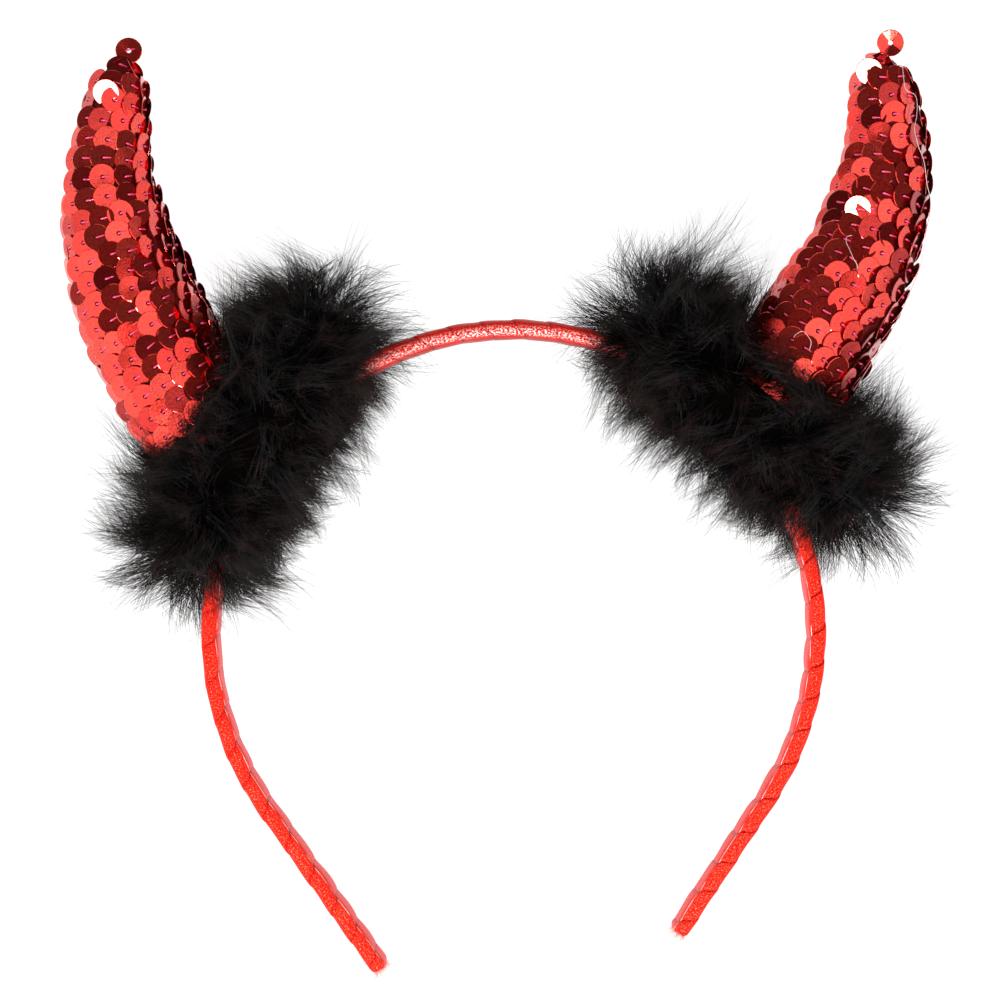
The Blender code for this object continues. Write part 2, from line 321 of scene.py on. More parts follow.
def bandFrame(stations):
    # middle line: an arc from the crown out to each side, then straight legs; lengths count from
    # the crown and are negative to the left
    leftEnd = -loop["radius"] * math.radians(loop["leftArc"])
    rightEnd = loop["radius"] * math.radians(loop["rightArc"])
    onArc = np.clip(stations, leftEnd, rightEnd)
    angle = onArc / loop["radius"]
    nothing = np.zeros_like(angle)
    outward = np.stack((np.sin(angle), np.cos(angle), nothing), -1)
    forward = np.stack((np.cos(angle), -np.sin(angle), nothing), -1)
    return outward * loop["radius"] + forward * (stations - onArc)[..., None], outward, forward


def bandEnds():
    leftEnd = -loop["radius"] * math.radians(loop["leftArc"]) - loop["leftLeg"]
    rightEnd = loop["radius"] * math.radians(loop["rightArc"]) + loop["rightLeg"]
    return leftEnd, rightEnd


def satinMaterial():
    # satin ribbon: polyester, woven so that long threads float on top; the soft pale streak full of
    # small sparkles at the crown is a painted highlight, and the dark slanted line that ends each turn
    # is painted crease shade
    material, tree, shader = newMaterial("satin_ribbon", {
        "Roughness": 0.33, "Metallic": 0.30, "Specular IOR Level": 0.30,
        "Specular Tint": linear("#FF5A48")})
    weave = addNode(tree, "ShaderNodeUVMap", {"uv_map": "weave"}).outputs["UV"]
    turns = addNode(tree, "ShaderNodeUVMap", {"uv_map": "winding"}).outputs["UV"]
    parts = addNode(tree, "ShaderNodeSeparateXYZ", links={"Vector": turns})
    threads = noise(tree, 1.0 / ribbon["grain"], 3.0, weave)
    color = ramp(tree, threads, [
        (0.36, ribbon["deepRed"]), (0.52, ribbon["red"]), (0.70, ribbon["paleRed"])])
    turn = calculate(tree, "FRACT", parts.outputs["X"], 0.0)
    # painted crease shade: dark beside the edge, fading over a twentieth of a turn
    paintedShade = curve(tree, turn, [
        (0.0, 0.75), (0.025, 0.12), (0.09, 0.0), (0.93, 0.0), (0.975, 0.5), (1.0, 0.9)])
    # painted highlight: a pale line along the inner front corner where the satin folds, which each turn
    # starts a little nearer the front
    lean = calculate(tree, "MULTIPLY", turn, 0.030)
    place = calculate(tree, "ADD", parts.outputs["Y"], lean)
    line = curve(tree, place, [(0.366, 0.0), (0.374, 1.0), (0.386, 1.0), (0.394, 0.0)])
    broken = curve(tree, noise(tree, 260.0, 1.0, weave), [(0.38, 0.05), (0.55, 1.0)])
    legs = addNode(tree, "ShaderNodeAttribute", {"attribute_name": "legs"}).outputs["Fac"]
    ridgeHighlightShare = calculate(tree, "MULTIPLY", calculate(tree, "MULTIPLY", line, broken), legs)
    color = mixColor(tree, ridgeHighlightShare, color, linear(ribbon["paintedHighlight"]))
    # painted shade: at the crown the winding is darker, most of all on its inner side
    crown = calculate(tree, "SUBTRACT", 1.0, legs)
    depth = curve(tree, parts.outputs["Y"], [(0.37, 0.7), (0.42, 0.95)])
    crownInnerShade = calculate(tree, "MULTIPLY", depth, crown)
    color = mixColor(tree, crownInnerShade, color, linear(ribbon["paintedShade"]))
    # painted highlight: a pale streak of sparkles along the front's middle at the crown
    front = curve(tree, parts.outputs["Y"], [(0.20, 0.0), (0.27, 0.9), (0.33, 0.9), (0.37, 0.0)])
    sparkle = noise(tree, 1.0 / ribbon["sparkle"], 1.0, weave)
    paintedSparkle = curve(tree, sparkle, [(0.48, 0.0), (0.60, 1.0)])
    paintedStreak = calculate(tree, "MULTIPLY", calculate(tree, "MULTIPLY", front, paintedSparkle), crown)
    color = mixColor(tree, paintedStreak, color, linear(ribbon["paintedHighlight"]))
    color = mixColor(tree, paintedShade, color, linear(ribbon["paintedShade"]))
    tree.links.new(color, shader.inputs["Base Color"])
    winding = curve(tree, turn, [(0.0, 0.0), (0.06, 1.0), (0.9, 0.75), (1.0, 0.0)])
    height = mixColor(tree, 0.22, winding, threads)
    tree.links.new(bump(tree, height, 0.5 * mm, 1.0), shader.inputs["Normal"])
    return material


def makeBand():
    # section: a superellipse round the middle line, squarer on the legs than at the crown; each
    # turn's winding is a sawtooth height that steps down at the ribbon's edge, where the satin carries a
    # dark line of painted crease shade, and its edge slants across the front and back faces
    left, right = bandEnds()
    rows, columns = ribbon["rows"], ribbon["columns"]
    roundEnd = loop["thickness"] * 0.5
    evenly = np.linspace(0.0, 1.0, rows - 16)
    ends = (1 - np.cos(np.linspace(0, math.pi / 2, 9)[:-1])) * roundEnd
    s = np.concatenate((left + ends, left + roundEnd + (right - left - 2 * roundEnd) * evenly,
                        (right - ends)[::-1]))
    v = np.arange(columns) / columns * 2 * math.pi
    S, V = np.meshgrid(s, v, indexing="ij")
    legness = np.clip(np.abs(S) / (loop["radius"] * 1.2), 0, 1) ** 2
    power = 2 / (ribbon["crownCorner"] + (ribbon["legCorner"] - ribbon["crownCorner"]) * legness)
    cosV, sinV = np.cos(V), np.sin(V)
    out = np.sign(cosV) * np.abs(cosV) ** power
    deep = np.sign(sinV) * np.abs(sinV) ** power
    wander = 0.9 * mm * np.sin(S * 61) + 0.6 * mm * np.sin(S * 143 + 1.3)
    slanted = V / (2 * math.pi) - 0.08 * np.sin(2 * V)
    turn = (S + wander) / ribbon["pitch"] - slanted
    number = np.floor(turn)
    share = turn - number
    step = (np.clip((1 - share) / (1 - ribbon["edgeRun"]), 0, 1)
            * np.clip(share / ribbon["edgeRun"], 0, 1))
    inner = np.clip(-cosV, 0, 1)
    uneven = 0.5 + 0.5 * np.sin(number * 7.7 + 2.0)
    lump = ribbon["lump"] * (0.55 * np.sin(number * 12.9 + V * 2 + share * 5)
                             + 0.45 * np.sin(S * 420 + V * 3))
    pillow = ribbon["pillow"] * (np.sin(math.pi * share ** 0.8) ** 0.6 - 0.6) * (0.35 + 0.65 * uneven)
    edge = ribbon["edgeHeight"] * (step - 0.4) * (0.5 + 0.5 * uneven)
    lift = (ribbon["swell"] + ribbon["crownSwell"] * (1 - legness) + edge * (1 - inner)
            + lump + pillow * inner * legness)
    fromEnd = np.clip(np.minimum(S - left, right - S) / roundEnd, 0, 1)
    endShare = np.sqrt(np.clip(1 - (1 - fromEnd) ** 2, 0.0009, 1))
    place, outward = bandFrame(S)[:2]
    wide = (out * loop["thickness"] / 2 + np.sign(out) * np.abs(out) ** 0.7 * lift) * endShare
    high = (deep * loop["depth"] / 2 + np.sign(deep) * np.abs(deep) ** 0.7 * lift) * endShare
    points = place + outward * wide[..., None] + np.array((0.0, 0.0, 1.0)) * high[..., None]
    points = toWorld(points.reshape(-1, 3))
    points[:, 2] = np.maximum(points[:, 2], 0.02 * mm)
    faces = gridFaces(rows, columns)
    band = meshPiece("satin_wrapped_band", points, faces, satinMaterial())
    closeEnds(band, rows, columns)
    # two maps: metres along and round for the weave, turns along and shares round for the winding;
    # at the seam the corners that close a face count on instead of jumping back
    index = np.empty(len(band.data.loops), dtype=np.int32)
    band.data.loops.foreach_get("vertex_index", index)
    column = index % columns
    starts = np.empty(len(band.data.polygons), dtype=np.int32)
    totals = np.empty(len(band.data.polygons), dtype=np.int32)
    band.data.polygons.foreach_get("loop_start", starts)
    band.data.polygons.foreach_get("loop_total", totals)
    lastOfFace = np.repeat(np.maximum.reduceat(column, starts), totals)
    over = (column == 0) & (lastOfFace == columns - 1)
    fraction = column / columns + over
    maps = {
        "weave": (S.ravel()[index], fraction * 2 * (loop["thickness"] + loop["depth"])),
        "winding": (turn.ravel()[index] - over, fraction),
    }
    for name, (across, up) in maps.items():
        band.data.uv_layers.new(name=name).data.foreach_set(
            "uv", np.stack((across, up), -1).astype(np.float32).ravel())
    giveAttribute(band, "legs", legness)
    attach(band, "root")
    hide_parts("wrapped_band")
    print("band wound:", len(faces), "faces")


def closeEnds(piece, rows, columns):
    # one flat face closes each end ring of a grid
    bm = bmesh.new()
    bm.from_mesh(piece.data)
    bm.verts.ensure_lookup_table()
    for start in (0, (rows - 1) * columns):
        bm.faces.new([bm.verts[start + k] for k in range(columns)])
    bmesh.ops.recalc_face_normals(bm, faces=bm.faces)
    bm.to_mesh(piece.data)
    bm.free()


# Horns: stuffed cloth, covered with rows of sequins

hornTables = {
    # along (away from the foot), across (towards the crown), radius: shares of length and half thickness
    "left": ((0.00, 0.000, 0.98), (0.07, 0.000, 0.99), (0.15, 0.003, 1.00), (0.314, 0.071, 1.00),
             (0.423, 0.130, 0.98), (0.511, 0.191, 0.90), (0.588, 0.260, 0.79), (0.634, 0.310, 0.69),
             (0.677, 0.375, 0.60), (0.717, 0.444, 0.51), (0.746, 0.501, 0.40), (0.759, 0.536, 0.18)),
    "right": ((0.00, 0.000, 0.96), (0.07, 0.000, 0.97), (0.155, 0.002, 0.97), (0.363, 0.031, 0.93),
              (0.451, 0.047, 0.86), (0.528, 0.079, 0.82), (0.592, 0.108, 0.74), (0.667, 0.159, 0.66),
              (0.727, 0.210, 0.57), (0.769, 0.254, 0.49), (0.797, 0.283, 0.38), (0.816, 0.292, 0.18)),
}
horn = {
    "length": 100.0 * mm,
    "thickness": 29.0 * mm,
    "seat": {"left": 56.6, "right": 48.9},   # degrees round the loop from the crown
    "tilt": {"left": 3.5, "right": 9.0},     # degrees off the loop's normal
    "ribbonEdge": 0.3 * mm,
    "gap": 0.3 * mm,
    "bodyInset": 1.0 * mm,                   # the cloth lies this far inside the sequins
    "clothRed": "#6A0608",
    "clothDark": "#3C0305",
}
sequin = {
    "diameter": 6.0 * mm,
    "hole": 1.05 * mm,
    "film": 0.12 * mm,
    "cup": 0.05 * mm,
    "rowStep": 4.4 * mm,
    "spacing": 4.75 * mm,
    "sides": 20,
    "lie": 10.0,                  # degrees that each leans on its left neighbour
    "shingle": 6.5,               # degrees that each leans on the row above
    "jitter": 5.0,
    "rim": 0.15 * mm,             # width of the bevelled edge
    "inset": 0.55 * mm,
    "seed": 11,
    # each sequin's red, by a random share: a few are darker
    "tones": ((0.0, "#A81C18"), (0.14, "#C02620"), (0.30, "#EC3329"), (1.0, "#FB4A3C")),
    # three that catch the lamp: station from the foot, and turn round the horn in degrees
    "glints": {"left": ((0.0913, -13.0),), "right": ((0.0870, -36.0), (0.0534, -27.0))},
}
signOf = {"left": -1.0, "right": 1.0}


def hornFrame(side):
    # the horn's seat on the band, its axis, and the way to the crown, in the loop's plane
    sign = signOf[side]
    angle = math.radians(horn["seat"][side])
    tilt = math.radians(horn["tilt"][side])
    seat = loop["radius"] * np.array((sign * math.sin(angle), math.cos(angle), 0.0))
    lean = angle - tilt
    axis = np.array((sign * math.sin(lean), math.cos(lean), 0.0))
    toCrown = np.array((-sign * math.cos(lean), math.sin(lean), 0.0))
    foot = (loop["thickness"] / 2 + horn["ribbonEdge"] + horn["gap"]
            + loop["radius"] * (1 - math.cos(tilt)))
    return seat, axis, toCrown, foot


def hornLine(side):
    # smooth middle line through the table's rows, with its radii and the length travelled
    fine = smoothRows(np.array(hornTables[side]), 12)
    seat, axis, toCrown, foot = hornFrame(side)
    points = (seat + (foot + fine[:, :1] * horn["length"]) * axis
              + fine[:, 1:2] * horn["length"] * toCrown)
    radii = fine[:, 2] * horn["thickness"] / 2
    travelled = np.concatenate(([0.0], np.cumsum(np.linalg.norm(np.diff(points, axis=0), axis=1))))
    return points, radii, travelled


def hornSurface(side, stations, turns, lift=0.0):
    # point, outward normal, way to the tip and way round, at a station and a turn round the axis;
    # turn 0 faces out of the loop's face, and a quarter turn faces the picture's right
    points, radii, travelled = hornLine(side)
    slopes = np.gradient(points, travelled, axis=0)
    radiusSlope = np.gradient(radii, travelled)

    def at(values):
        return np.interp(stations, travelled, values)

    centre = np.stack([at(points[:, k]) for k in range(3)], -1)
    ahead = np.stack([at(slopes[:, k]) for k in range(3)], -1)
    ahead /= np.linalg.norm(ahead, axis=-1, keepdims=True)
    out = np.array((0.0, 0.0, 1.0))
    right = np.cross(ahead, out)
    radial = np.cos(turns)[..., None] * out + np.sin(turns)[..., None] * right
    radius = at(radii) + lift
    slope = np.arctan(at(radiusSlope))[..., None]
    normal = radial * np.cos(slope) - ahead * np.sin(slope)
    along = ahead * np.cos(slope) + radial * np.sin(slope)
    around = np.cross(along, normal)
    return centre + radial * radius[..., None], normal, along, around


def clothMaterial():
    # plain-woven red cloth under the sequins, seen only as dark red between them and in their holes
    material, tree, shader = newMaterial("red_cloth", {"Roughness": 0.8, "Specular IOR Level": 0.2})
    grain = noise(tree, 1800.0, 2.0)
    color = ramp(tree, grain, [(0.3, horn["clothDark"]), (0.7, horn["clothRed"])])
    tree.links.new(color, shader.inputs["Base Color"])
    tree.links.new(bump(tree, grain, 0.15 * mm, 0.5), shader.inputs["Normal"])
    return material


def makeHornBody(side, material):
    # circles along the middle line, inset under the sequins, with a round tip and a flat foot
    length = hornLine(side)[2][-1]
    rows, columns = 72, 40
    s = length * (1 - (1 - np.linspace(0, 1, rows)) ** 1.4)
    v = np.arange(columns) / columns * 2 * math.pi
    S, V = np.meshgrid(s, v, indexing="ij")
    points = hornSurface(side, S, V, -horn["bodyInset"])[0]
    body = meshPiece(side + "_horn_cloth", toWorld(points.reshape(-1, 3)), gridFaces(rows, columns),
                     material)
    closeEnds(body, rows, columns)
    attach(body, "root")
    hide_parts(side + "_horn")


def sequinMaterial():
    # metallised polyester film: a flat red mirror with a fine grain, under a clear lacquer
    material, tree, shader = newMaterial("red_sequin_film", {
        "Metallic": 0.95, "Roughness": 0.13, "Coat Weight": 0.35, "Coat Roughness": 0.1})
    tone = addNode(tree, "ShaderNodeAttribute", {"attribute_name": "tone"}).outputs["Fac"]
    color = ramp(tree, tone, sequin["tones"])
    grain = noise(tree, 2600.0, 2.0)
    speck = ramp(tree, grain, [(0.32, "#C4C4C4"), (0.62, "#FFFFFF")])
    tree.links.new(mixColor(tree, 1.0, color, speck, "MULTIPLY"), shader.inputs["Base Color"])
    tree.links.new(bump(tree, grain, 0.03 * mm, 0.3), shader.inputs["Normal"])
    return material


def sequinTemplate():
    # closed film ring: from the hole to the rim in front, then back again; slightly cupped
    outer, hole, film = sequin["diameter"] / 2, sequin["hole"] / 2, sequin["film"]
    front = np.array((hole, outer - sequin["rim"], outer))
    radius = np.concatenate((front, front[[2, 0]]))
    side = np.array((0.5, 0.5, -0.25, -0.5, -0.5)) * film
    turns = np.arange(sequin["sides"]) / sequin["sides"] * 2 * math.pi
    R, T = np.meshgrid(radius, turns, indexing="ij")
    flat = np.stack((R * np.cos(T), R * np.sin(T)), -1)
    cup = (R / outer) ** 2
    height = np.broadcast_to(side[:, None], R.shape)
    faces = gridFaces(len(radius), sequin["sides"], closedRows=True)
    return flat.reshape(-1, 2), cup.ravel(), height.ravel(), faces[:, ::-1]


def sequinPlaces(side):
    # rows round the horn from the tip down; each row holds as many as fit at one spacing
    random = np.random.RandomState(sequin["seed"] + (side == "right"))
    radii, travelled = hornLine(side)[1:]
    stations, turns = [], []
    station = travelled[-1] - 0.4 * mm
    while station > 2.5 * mm:
        radius = np.interp(station, travelled, radii)
        count = max(4, int(round(2 * math.pi * radius / sequin["spacing"])))
        phase = random.uniform(0, 2 * math.pi)
        turns.append(phase + np.arange(count) / count * 2 * math.pi + random.normal(0, 0.03, count))
        stations.append(station + random.normal(0, 0.2 * mm, count))
        station -= sequin["rowStep"]
    return np.concatenate(stations), np.concatenate(turns), random


def lampNormal(places):
    # the normal that mirrors the lamp into the camera: halfway between the two directions
    direction, distance = studio["lights"]["lamp"][2:]
    lamp = distance * towards(direction)
    eye = np.array((*view["aim"], view["distance"]))
    return unit(unit(lamp - places) + unit(eye - places))


def makeSequins(side, material, stitchMaterial):
    stations, turns, random = sequinPlaces(side)
    centre, normal, along, around = hornSurface(side, stations, turns, -sequin["inset"])
    count = len(stations)
    right = around
    lie = sequin["lie"] + random.normal(0, sequin["jitter"], count)
    shingle = sequin["shingle"] + random.normal(0, sequin["jitter"], count)
    # lean on the left neighbour: turn about the way to the tip; on the row above: about the way round
    normal = turnAbout(along, normal, lie)
    right = turnAbout(along, right, lie)
    normal = turnAbout(right, normal, shingle)
    along = turnAbout(right, along, shingle)
    for station, turn in sequin["glints"][side]:
        target = hornSurface(side, np.array([station]), np.array([math.radians(turn)]))[0]
        pick = np.linalg.norm(centre - target, axis=1).argmin()
        centre[pick] = target - lampNormal(target)[0] * sequin["inset"]
        normal[pick] = lampNormal(centre[pick])
        right[pick] -= normal[pick] * (normal[pick] @ right[pick])
        right[pick] /= np.linalg.norm(right[pick])
        along[pick] = np.cross(normal[pick], right[pick])
        centre[pick] += normal[pick] * 0.25 * mm
    flat, cup, height, faces = sequinTemplate()
    cupping = sequin["cup"] * random.uniform(-0.5, 1.0, count)
    up = height[None, :] + cup[None, :] * cupping[:, None]
    points = (centre[:, None, :] + flat[None, :, :1] * right[:, None, :]
              + flat[None, :, 1:] * along[:, None, :] + up[..., None] * normal[:, None, :])
    size = len(cup)
    allFaces = (faces[None] + (np.arange(count) * size)[:, None, None]).reshape(-1, 4)
    piece = meshPiece(side + "_horn_sequins", toWorld(points.reshape(-1, 3)), allFaces, material, False)
    giveAttribute(piece, "tone", np.repeat(random.uniform(0, 1, count), size))
    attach(piece, "root")
    print(side, "horn:", count, "sequins,", len(allFaces) * 2, "triangles")
    makeStitches(side + "_horn_stitches", stitchMaterial, centre, right, along, normal, random)


stitch = {
    "thickness": 0.36 * mm,
    "knot": 1.0,                  # how much thicker it is at the hole
    "reach": 2.3 * mm,
    "pink": "#F4487A",
    "deepPink": "#B8123E",
    "rise": 0.30 * mm,
    "sides": 5,
    "rows": 7,
}


def threadMaterial():
    # pink nylon sewing thread: shiny, and pale where it catches the light
    material, tree, shader = newMaterial("nylon_thread", {"Roughness": 0.3, "Coat Weight": 0.4})
    grain = noise(tree, 3000.0, 2.0)
    color = ramp(tree, grain, [(0.35, stitch["deepPink"]), (0.65, stitch["pink"])])
    tree.links.new(color, shader.inputs["Base Color"])
    return material


def makeStitches(name, material, centre, right, along, normal, random):
    # a thread from each hole over the film to the right: a low arch, thick at the hole
    rows, sides, count = stitch["rows"], stitch["sides"], len(centre)
    t = np.linspace(0, 1, rows)
    slant = random.normal(0.05, 0.12, count)
    reach = (t * stitch["reach"] - 0.25 * mm)[None, :, None]
    hump = np.clip(np.sin(math.pi * np.clip(0.12 + t * 0.88, 0, 1)), 0, 1) ** 0.5
    arch = stitch["rise"] * hump - 0.1 * mm
    path = (centre[:, None, :] + reach * (right + slant[:, None] * along)[:, None, :]
            + arch[None, :, None] * normal[:, None, :])
    thick = stitch["thickness"] / 2 * (1 + stitch["knot"] * np.exp(-((t - 0.1) * 5) ** 2))
    thick *= np.clip(np.sin(math.pi * np.clip(0.1 + t * 0.88, 0, 1)), 0.05, 1) ** 0.4
    turns = np.arange(sides) / sides * 2 * math.pi
    ring = (np.cos(turns)[None, None, :, None] * along[:, None, None, :]
            + np.sin(turns)[None, None, :, None] * normal[:, None, None, :])
    points = path[:, :, None, :] + ring * thick[None, :, None, None]
    size = rows * sides
    faces = gridFaces(rows, sides)
    last = (rows - 1) * sides
    cap = np.array(((0, 1, 2), (0, 2, 3), (0, 3, 4)))
    triangles = np.concatenate((faces[:, [0, 1, 2]], faces[:, [0, 2, 3]], cap[:, ::-1], last + cap))
    allFaces = (triangles[None] + (np.arange(count) * size)[:, None, None]).reshape(-1, 3)
    piece = meshPiece(name, toWorld(points.reshape(-1, 3)), allFaces, material)
    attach(piece, "root")


# Marabou: a loop of down round the foot of each horn

marabou = {
    "length": 82.0 * mm,
    "width": 37.0 * mm,
    "height": 52.0 * mm,
    "shift": {"left": 4.4 * mm, "right": 1.5 * mm},
    "rise": {"left": 3.5 * mm, "right": 4.5 * mm},
    "fullness": 0.85,             # below 1 the body is boxier than an ellipsoid
    "core": 0.76,                 # the dense middle, as a share of the whole
    "clear": {"left": 14.0 * mm, "right": 11.5 * mm},   # in front of the horn the down ends here
    "black": "#040303",
    "shade": "#050303",
    # greyer tufts: a random tone that is partly a painted sheen for the barbs' gloss
    "sheenGrey": "#2C2D2E",
    "brown": "#3A2C28",
    "outline": 1.22,              # share of the whole past which strands are drawn in
    "stray": 0.48,                # and how much of what is past it stays
    "slew": {"left": 0.12, "right": 0.0},   # the crown end lies further out than the other
    "seed": 5,
    # layer: clumps, strands a clump, lengths, thickness, points a strand, root depth (shares), spread
    "layers": {
        "down": (1080, 15, (8 * mm, 13 * mm), 0.15 * mm, 3, (0.68, 0.88), 0.09),
        "wisps": (520, 19, (9 * mm, 20 * mm), 0.09 * mm, 4, (0.62, 0.88), 0.08),
    },
}


def downMaterial():
    # marabou down dyed black: soft matt barbs, brown where they thin out; some tufts greyer, partly a
    # random tone and partly a painted sheen for the gloss along the barbs
    material, tree, shader = newMaterial("black_marabou_down", {
        "Roughness": 0.55, "Specular IOR Level": 0.05})
    tip = addNode(tree, "ShaderNodeAttribute", {"attribute_name": "tip"}).outputs["Fac"]
    tuft = addNode(tree, "ShaderNodeAttribute", {"attribute_name": "tuft"}).outputs["Fac"]
    # grey tufts: partly painted sheen along the barbs
    body = ramp(tree, tuft, [(0.55, marabou["black"]), (1.0, marabou["sheenGrey"])])
    share = addNode(tree, "ShaderNodeMapRange", {"From Min": 0.5}, {"Value": tip}).outputs["Result"]
    color = mixColor(tree, share, body, linear(marabou["brown"]))
    tree.links.new(color, shader.inputs["Base Color"])
    return material


def marabouFrame(side):
    # centre, half sizes, and the axes: along the band, out along the horn, out of the face
    seat, axis, toCrown = hornFrame(side)[:3]
    centre = seat + toCrown * marabou["shift"][side] + axis * marabou["rise"][side]
    half = np.array((marabou["length"], marabou["width"], marabou["height"])) / 2
    return centre, half, np.array((toCrown, axis, (0.0, 0.0, 1.0)))


def coreMaterial():
    # the shade deep in the down: black that gives nothing back
    return newMaterial("black_down_shade", {
        "Base Color": linear(marabou["shade"]), "Roughness": 1.0, "Specular IOR Level": 0.0})[0]


def makeCore(side, material):
    # the dense middle of the down: a lumpy boxy ellipsoid, out of sight under the strands
    centre, half, basis = marabouFrame(side)
    rows, columns = 72, 64
    u = np.linspace(0.012, math.pi - 0.012, rows)
    v = np.arange(columns) / columns * 2 * math.pi
    U, V = np.meshgrid(u, v, indexing="ij")
    ball = np.stack((np.cos(U), np.sin(U) * np.cos(V), np.sin(U) * np.sin(V)), -1)
    lumps = 1 + 0.05 * np.sin(7 * U + 2 * np.sin(3 * V)) + 0.04 * np.sin(5 * V + 4 * U)
    shape = np.sign(ball) * np.abs(ball) ** marabou["fullness"] * half
    shape = clearOfHorn(side, shape * marabou["core"] * lumps[..., None], 3 * mm, 0.0)
    points = toWorld((centre + shape @ basis).reshape(-1, 3))
    points[:, 2] = np.maximum(points[:, 2], 0.6 * mm)
    core = meshPiece(side + "_marabou_core", points, gridFaces(rows, columns), material)
    closeEnds(core, rows, columns)
    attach(core, "root")
    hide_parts(side + "_marabou")


def clearOfHorn(side, path, margin, give):
    # in front of the horn the down ends at one line, so that the sequins show above it; path is in
    # the marabou's own axes
    centre, _, basis = marabouFrame(side)
    limit = marabou["clear"][side] - marabou["rise"][side] - margin
    radius = horn["thickness"] / 2
    points = hornLine(side)[0] - centre
    across = path[..., 0] - np.interp(path[..., 1], points @ basis[1], points @ basis[0])
    cover = np.clip((radius + 3.5 * mm - across) / (3 * mm), 0, 1)
    cover *= np.clip((radius + 1.5 * mm + across) / (3 * mm), 0, 1) * (path[..., 2] > 0)
    excess = np.maximum(path[..., 1] - limit, 0) * cover
    cleared = path.copy()
    cleared[..., 1] -= excess * (1 - give)
    return cleared


def makeStrands(side, layer, material, seed):
    # strand: root + length * (way * t + bend * t * t), three-sided, tapering to a point; the strands
    # of a clump start spread over the core and draw together towards the clump's tip
    clumps, perClump, lengths, thickness, rows, depth, spread = marabou["layers"][layer]
    random = np.random.RandomState(seed)
    centre, half, basis = marabouFrame(side)
    # spread evenly over the surface: directions are stretched by the body's own shape
    ball = unit(random.normal(size=(clumps, 3)) * half[[1, 0, 2]] ** 0.5)
    ball = unit(ball * half ** 0.6)
    shape = np.sign(ball) * np.abs(ball) ** marabou["fullness"]
    outward = unit(shape / half)
    comb = outward * np.array((1.0, 1.2, 0.45))
    lying = unit(comb + random.normal(0, 0.34, (clumps, 3)))
    clumpBend = random.normal(0, 0.34, (clumps, 3)) + outward * 0.2
    # slow swells of the outline, so that tufts stand out in places; towards the head it is shorter
    swell = (np.sin(ball @ np.array((5.0, 2.0, 3.0)) * 2 + seed)
             * np.sin(ball @ np.array((-3.0, 6.0, 1.0)) + 2 * seed))
    clumpLength = random.uniform(*lengths, (clumps, 1)) * (1 + 0.38 * swell[:, None])
    clumpLength *= 1 + 0.25 * outward[:, 1:2] + 0.25 * np.abs(outward[:, :1])
    clumpLength *= 1 + 0.5 * (random.uniform(size=(clumps, 1)) > 0.90)
    clumpRoot = shape * half * random.uniform(*depth, (clumps, 1)) * (1 + 0.07 * swell[:, None])
    middle = 1 - (clumpRoot[:, 0] / half[0]) ** 2
    clumpRoot[:, 1] *= 1 - 0.14 * middle * (clumpRoot[:, 1] < 0)
    clumpRoot[:, 1] += marabou["slew"][side] * clumpRoot[:, 0]
    pick = np.repeat(np.arange(clumps), perClump)
    count = len(pick)
    offset = random.normal(0, 1.5 * mm, (count, 3))
    way = unit(lying[pick] + random.normal(0, spread, (count, 3)))
    bend = clumpBend[pick] + random.normal(0, spread, (count, 3))
    length = clumpLength[pick] * random.uniform(0.55, 1.15, (count, 1))
    t = np.linspace(0, 1, rows)[None, :, None]
    path = (clumpRoot[pick][:, None, :] + offset[:, None, :] * (1 - 0.85 * t)
            + length[:, None, :] * (way[:, None, :] * t + bend[:, None, :] * t ** 2))
    # far strands are drawn in, so that only the odd one reaches well past the locks
    reach = np.linalg.norm(path / half * (1.0, 1.0, 1.4), axis=-1, keepdims=True)
    path = path * np.where(reach > marabou["outline"], marabou["outline"] / reach
                           + marabou["stray"] * (reach - marabou["outline"]) / reach, 1.0)
    path = clearOfHorn(side, path, 0.0, random.uniform(0.1, 0.5, (count, 1)))
    path = clearOfNeighbours(side, centre + path @ basis)
    ahead = unit(np.gradient(path, axis=1))
    across = unit(np.cross(ahead, random.normal(size=(count, 1, 3))))
    other = np.cross(ahead, across)
    thick = thickness / 2 * (1 - 0.7 * t[0, :, 0])
    turns = np.arange(3) / 3 * 2 * math.pi
    ring = (np.cos(turns)[None, None, :, None] * across[:, :, None, :]
            + np.sin(turns)[None, None, :, None] * other[:, :, None, :])
    body = path[:, :-1, None, :] + ring[:, :-1] * thick[None, :-1, None, None]
    points = np.concatenate((body.reshape(count, -1, 3), path[:, -1:, :]), axis=1)
    size = (rows - 1) * 3 + 1
    quads = gridFaces(rows - 1, 3)
    last = (rows - 2) * 3
    tips = [(last, last + 1, size - 1), (last + 1, last + 2, size - 1), (last + 2, last, size - 1)]
    triangles = np.concatenate((quads[:, [0, 1, 2]], quads[:, [0, 2, 3]], tips, [(0, 2, 1)]))
    allFaces = (triangles[None] + (np.arange(count) * size)[:, None, None]).reshape(-1, 3)
    piece = meshPiece(side + "_marabou_" + layer, toWorld(points.reshape(-1, 3)), allFaces, material)
    giveAttribute(piece, "tip", np.tile(np.concatenate((np.repeat(t[0, :-1, 0], 3), (1.0,))), count))
    giveAttribute(piece, "tuft", np.repeat(random.uniform(0, 1, clumps)[pick], size))
    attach(piece, "root")
    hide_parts(side + "_marabou")
    print(piece.name, count, "strands,", len(allFaces), "triangles")


